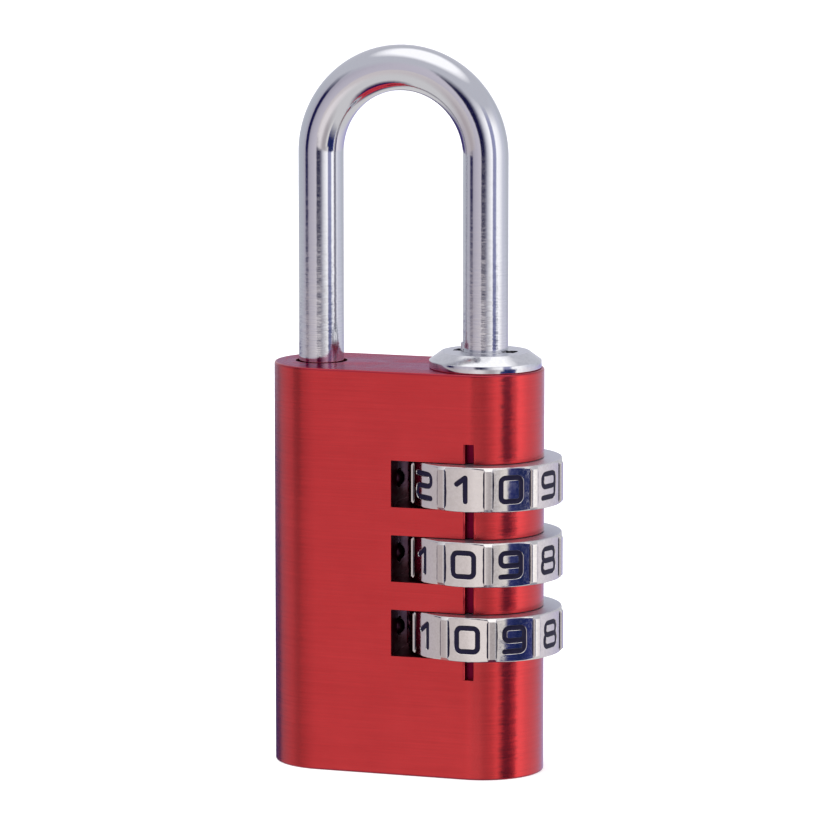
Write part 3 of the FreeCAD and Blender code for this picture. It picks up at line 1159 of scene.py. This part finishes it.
# The legs' row has pale bands where the arch's row has dark ones
LEG_WALLS = (
    (-180, (0.60, 0.56, 0.62)),
    (-150, (0.74, 0.75, 0.80)),
    (-125, (0.64, 0.66, 0.71)),
    (-106, (0.60, 0.62, 0.69)),
    (-91, (0.52, 0.50, 0.58)),
    (-79, (0.46, 0.43, 0.50)),
    (-72, (0.46, 0.43, 0.50)),
    (-66, (0.54, 0.51, 0.58)),
    (-53, (0.63, 0.59, 0.67)),
    (-27, (0.72, 0.68, 0.74)),
    (-21, (0.36, 0.34, 0.40)),
    (-8, (0.34, 0.32, 0.38)),
    (1, (0.40, 0.39, 0.46)),
    (8, (0.60, 0.60, 0.68)),
    (18, (0.94, 0.94, 0.98)),
    (26, (1.20, 1.20, 1.27)),
    (33, (1.40, 1.40, 1.45)),
    (37, (0.28, 0.29, 0.50)),
    (52, (0.34, 0.36, 0.60)),
    (56, (1.40, 1.40, 1.45)),
    (66, (1.48, 1.48, 1.48)),
    (76, (1.28, 1.28, 1.32)),
    (96, (0.76, 0.77, 0.90)),
    (116, (0.80, 0.81, 0.93)),
    (145, (0.54, 0.55, 0.62)),
    (165, (0.70, 0.70, 0.78)),
    (180, (0.60, 0.56, 0.62)),
)
ARCH_WALLS = (
    (-180, (0.70, 0.70, 0.78)),
    (-135, (0.60, 0.63, 0.70)),
    (-106, (0.60, 0.62, 0.69)),
    (-88, (0.52, 0.50, 0.60)),
    (-84, (0.01, 0.01, 0.08)),
    (-71, (0.01, 0.01, 0.08)),
    (-66, (0.50, 0.47, 0.56)),
    (-53, (0.60, 0.57, 0.66)),
    (-25, (0.74, 0.70, 0.79)),
    (-21, (0.01, 0.01, 0.06)),
    (-7, (0.01, 0.01, 0.06)),
    (0, (0.20, 0.20, 0.28)),
    (8, (0.66, 0.66, 0.74)),
    (18, (1.10, 1.10, 1.14)),
    (33, (1.45, 1.45, 1.48)),
    (37, (0.36, 0.37, 0.58)),
    (52, (0.42, 0.44, 0.66)),
    (56, (1.45, 1.45, 1.48)),
    (76, (1.28, 1.28, 1.32)),
    (96, (0.80, 0.82, 0.94)),
    (135, (0.60, 0.63, 0.70)),
    (180, (0.70, 0.70, 0.78)),
)
CEILING = (0.66, 0.67, 0.74)
OVERHEAD = (1.45, 1.45, 1.48)
GROUND = (0.80, 0.79, 0.80)
SHADE = (0.05, 0.01, 0.09)  # straight below, under the padlock


def world_angles(tree):
    """(share of a turn from straight behind the camera, height of the direction)"""
    split = add(tree, "ShaderNodeSeparateXYZ")
    turned = add(tree, "ShaderNodeVectorRotate", rotation_type="Z_AXIS")
    turned.inputs["Angle"].default_value = math.radians(-camera_azimuth)
    tree.links.new(add(tree, "ShaderNodeTexCoord").outputs["Generated"], turned.inputs["Vector"])
    tree.links.new(turned.outputs["Vector"], split.inputs["Vector"])
    flipped = add(tree, "ShaderNodeMath", operation="MULTIPLY")
    flipped.inputs[1].default_value = -1.0
    tree.links.new(split.outputs["Y"], flipped.inputs[0])
    angle = add(tree, "ShaderNodeMath", operation="ARCTAN2")
    tree.links.new(split.outputs["X"], angle.inputs[0])
    tree.links.new(flipped.outputs["Value"], angle.inputs[1])
    share = spread(tree, angle.outputs["Value"], 0.0, 1.0, -math.pi, math.pi)
    return share, split.outputs["Z"]


def wall_row(tree, share, walls):
    ramp = add(tree, "ShaderNodeValToRGB")
    stops = ramp.color_ramp.elements
    while len(stops) < len(walls):
        stops.new(0.5)
    for stop, (degrees, colour) in zip(stops, walls):
        stop.position = (degrees + 180) / 360
        stop.color = (*colour, 1)
    tree.links.new(share, ramp.inputs["Fac"])
    return ramp.outputs["Color"]


def build_world():
    world = bpy.data.worlds.new("studio")
    world.use_nodes = True
    scene.world = world
    tree = world.node_tree
    background = tree.nodes["Background"]
    share, height = world_angles(tree)
    colour = wall_row(tree, share, FOOT_WALLS)
    # Each zone fades in between two heights of the direction, as the sine of its elevation
    zones = (
        (-0.203, -0.193, LOW_WALLS),
        (-0.137, -0.134, LEG_WALLS),
        (-0.129, -0.111, ARCH_WALLS),
        (0.30, 0.55, CEILING),
        (0.80, 0.92, OVERHEAD),
        (-0.35, -0.60, GROUND),
        (-0.85, -0.95, SHADE),
    )
    for low, high, zone in zones:
        mix = add(tree, "ShaderNodeMix", data_type="RGBA")
        tree.links.new(spread(tree, height, 0.0, 1.0, low, high), mix.inputs["Factor"])
        tree.links.new(colour, mix.inputs["A"])
        if zone in (LOW_WALLS, LEG_WALLS, ARCH_WALLS):
            tree.links.new(wall_row(tree, share, zone), mix.inputs["B"])
        else:
            mix.inputs["B"].default_value = (*zone, 1)
        colour = mix.outputs["Result"]
    tree.links.new(colour, background.inputs["Color"])
    background.inputs["Strength"].default_value = 1.0


def build_floor():
    """A pale floor that sweeps up into a round wall, so that no horizon shows from any side."""
    profile = [Vector((0.001, 0.0)), Vector((floor_radius, 0.0))]
    profile += arc((floor_radius, sweep_radius), sweep_radius, -90, 0, 16)[1:]
    profile.append(Vector((floor_radius + sweep_radius, room_height)))
    rings = []
    sides = 96
    bm = bmesh.new()
    for p in profile:
        angles = [math.tau * i / sides for i in range(sides)]
        rings.append([bm.verts.new((p.x * math.cos(a), p.x * math.sin(a), p.y)) for a in angles])
    for low, high in zip(rings, rings[1:]):
        for i in range(sides):
            j = (i + 1) % sides
            bm.faces.new((low[i], low[j], high[j], high[i]))
    floor = to_object("floor", bm)
    floor.data.transform(Matrix.Scale(MM, 4))
    floor.data.shade_smooth()
    material, tree, shader = new_material("floor", Roughness=0.7, Emission_Strength=0.45)
    shader.inputs["Emission Color"].default_value = (1, 1, 1, 1)
    grains = noise(tree, object_point(tree), (900, 900, 900), 3.0, 0.6)
    tree.links.new(tint(tree, grains, (0.60, 0.60, 0.60), (0.65, 0.65, 0.65)), shader.inputs["Base Color"])
    floor.data.materials.append(material)
    floor.visible_glossy = False
    floor.visible_diffuse = False
    floor.visible_shadow = False


def build_lights():
    for name, place, size, power in (
        ("top_light", (0.0, -0.2, 1.6), 1.6, 26.0),
        ("front_light", (-0.7, -1.3, 0.9), 0.9, 7.0),
    ):
        data = bpy.data.lights.new(name, "AREA")
        data.size = size
        data.energy = power
        light = bpy.data.objects.new(name, data)
        light.location = place
        light.rotation_mode = "QUATERNION"
        light.rotation_quaternion = (-Vector(place)).to_track_quat("-Z", "Y")
        light.visible_glossy = False
        scene.collection.objects.link(light)


build_body()
build_shackle()
build_collar()
build_dials()
build_clutch_spring()
build_detents()
dress_cad_nodes()
build_camera()
build_world()
build_floor()
build_lights()
scene.view_settings.view_transform = "Standard"
